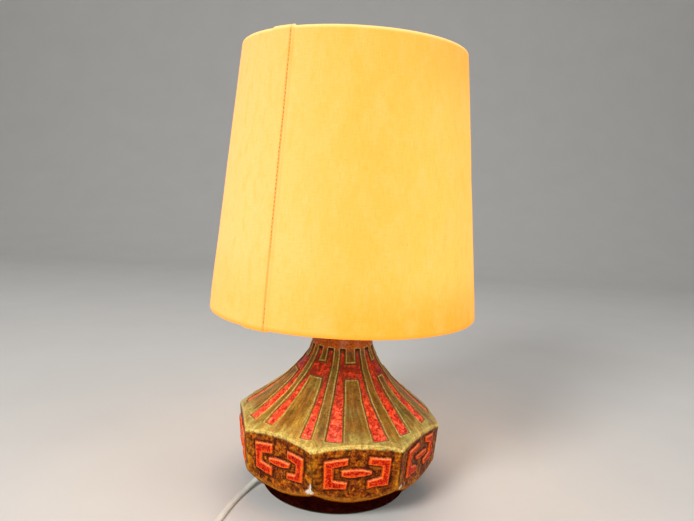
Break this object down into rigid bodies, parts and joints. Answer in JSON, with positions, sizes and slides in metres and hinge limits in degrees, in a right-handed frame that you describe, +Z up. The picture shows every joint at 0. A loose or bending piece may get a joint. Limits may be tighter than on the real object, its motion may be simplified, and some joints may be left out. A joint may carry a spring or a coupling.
{
  "type": "table lamp",
  "caption": "Ceramic table lamp: squat octagonal glazed base with a waisted neck, tapered fabric drum shade, screw-in bulb, in-line rocker switch and flat two-pin plug.",
  "frame": {"origin": "on the table, under the lamp's axis: the middle of the felt pad's underside", "axes": "+Z up along the lamp's axis; -Y is the front, square to one of the eight flat sides; the cord leaves the foot towards -X"},
  "size_m": [0.2529, 0.2996, 0.4169],
  "materials": {
    "glaze": "mottled gloss glaze, gold-brown and red",
    "felt": "matt felt",
    "white_plastic": "satin",
    "black_plastic": "gloss",
    "brass": "satin",
    "zinc_steel": "satin",
    "nickel": "polished",
    "porcelain": "unglazed",
    "fibre": "matt",
    "wire_brown": "satin",
    "wire_blue": "satin",
    "cord_pvc": "satin",
    "bulb_glass": "frosted",
    "clear_glass": "clear",
    "black_glass": "gloss",
    "cap_metal": "satin",
    "filament": "glowing",
    "linen": "woven",
    "linen_hem": "woven",
    "lining": "matt",
    "white_paint": "gloss"
  },
  "bodies": {
    "base": {"ceramic_body": "glaze", "felt_pad": "felt", "cord_grommet": "white_plastic", "neck_cap": "brass", "threaded_tube": "zinc_steel", "clamp_bar": "zinc_steel", "clamp_nut": "zinc_steel", "neck_nut": "brass", "holder_cap": "black_plastic", "holder_skirt": "black_plastic", "holder_insert": "porcelain", "holder_screw_shell": "brass", "holder_centre_contact": "brass", "holder_side_contact": "brass", "holder_terminal_screws": "zinc_steel", "holder_lock_screw": "white_plastic", "wire_live": "wire_brown", "wire_neutral": "wire_blue", "cord_lamp_side": "cord_pvc", "cord_plug_side": "cord_pvc", "switch_base": "white_plastic", "switch_cover": "white_plastic", "switch_pivot_pin": "zinc_steel", "switch_terminals": "brass", "switch_terminal_screws": "zinc_steel", "switch_cores": "wire_brown", "switch_case_screws": "zinc_steel", "switch_cord_clamps": "white_plastic", "plug_body": "white_plastic", "plug_pins": "nickel", "plug_pin_sleeves": "black_plastic", "plug_cores": "wire_blue"},
    "rocker": {"switch_rocker": "white_plastic"},
    "blade": {"switch_contact_blade": "brass"},
    "shade": {"shade_fabric": "linen", "shade_backing": "lining", "shade_seam_flap": "linen", "shade_top_wire": "zinc_steel", "shade_bottom_frame": "white_paint", "shade_top_hem": "linen", "shade_bottom_hem": "linen_hem"},
    "ring_spin": {"ring_washer": "fibre"},
    "ring_nut": {"shade_ring_nut": "black_plastic"},
    "bulb_spin": {"holder_slip_washer": "fibre"},
    "bulb": {"bulb_glass": "bulb_glass", "bulb_cap": "cap_metal", "bulb_insulator": "black_glass", "bulb_tip_contact": "brass", "bulb_stem": "clear_glass", "bulb_support_wires": "zinc_steel", "bulb_filament": "filament"}
  },
  "joints": [
    {"name": "rocker_tilt", "type": "hinge", "parent": "base", "child": "rocker", "pos_m": [-0.045, -0.16, 0.011], "axis": [0, -1, 0], "range_deg": [0, 14]},
    {"name": "contact_tilt", "type": "hinge", "parent": "base", "child": "blade", "pos_m": [-0.045, -0.16, 0.0036], "axis": [0, 1, 0], "range_deg": [0, 8.4]},
    {"name": "shade_turn", "type": "hinge", "parent": "base", "child": "shade", "pos_m": [0, 0, 0.198], "axis": [0, 0, 1], "continuous": true},
    {"name": "ring_turn", "type": "hinge", "parent": "base", "child": "ring_spin", "pos_m": [0, 0, 0.1995], "axis": [0, 0, 1], "range_deg": [0, 2880]},
    {"name": "ring_travel", "type": "slide", "parent": "ring_spin", "child": "ring_nut", "axis": [0, 0, 1], "range_m": [0, 0.0201]},
    {"name": "bulb_turn", "type": "hinge", "parent": "base", "child": "bulb_spin", "pos_m": [0, 0, 0.19], "axis": [0, 0, 1], "range_deg": [0, 2160]},
    {"name": "bulb_lift", "type": "slide", "parent": "bulb_spin", "child": "bulb", "axis": [0, 0, 1], "range_m": [0, 0.0218]}
  ],
  "couplings": [
    {"joint": "contact_tilt", "follows": "rocker_tilt", "ratio": 0.6},
    {"joint": "ring_travel", "follows": "ring_turn", "m_per_rad": 0.00039789},
    {"joint": "bulb_lift", "follows": "bulb_turn", "m_per_rad": 0.00057757}
  ]
}
